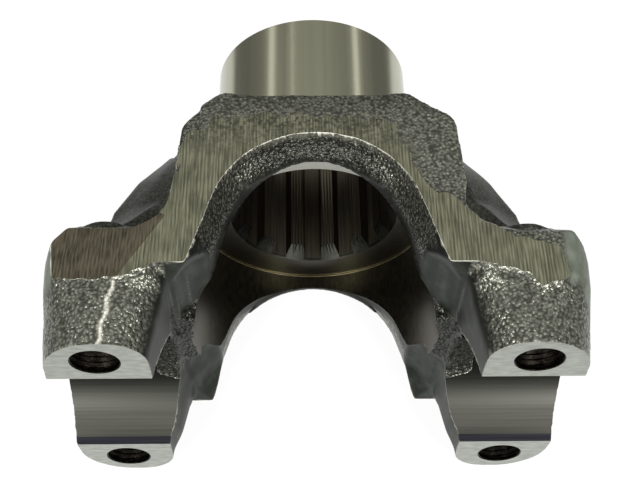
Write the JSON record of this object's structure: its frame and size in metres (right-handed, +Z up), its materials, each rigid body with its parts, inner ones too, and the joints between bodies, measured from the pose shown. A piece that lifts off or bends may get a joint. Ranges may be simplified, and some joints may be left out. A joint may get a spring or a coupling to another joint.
{
  "type": "differential yoke flange",
  "caption": "Forged steel yoke flange with two half-round saddles for a cross joint's bearing cups, threaded strap-bolt holes and a splined hub.",
  "frame": {"origin": "where the hub's axis crosses the axis of the two bearing-cup saddles, in the plane of the ears' end faces", "axes": "+X along the trunnion axis of the saddles, +Y along the hub's axis from the ears towards the pinion, +Z up, square to the sheared flats"},
  "size_m": [0.1032, 0.082, 0.0596],
  "materials": {
    "forged_steel": "as forged and shot-blasted, with sheared flats and bright machined seats"
  },
  "bodies": {
    "root": {"yoke_flange": "forged_steel"}
  },
  "joints": []
}
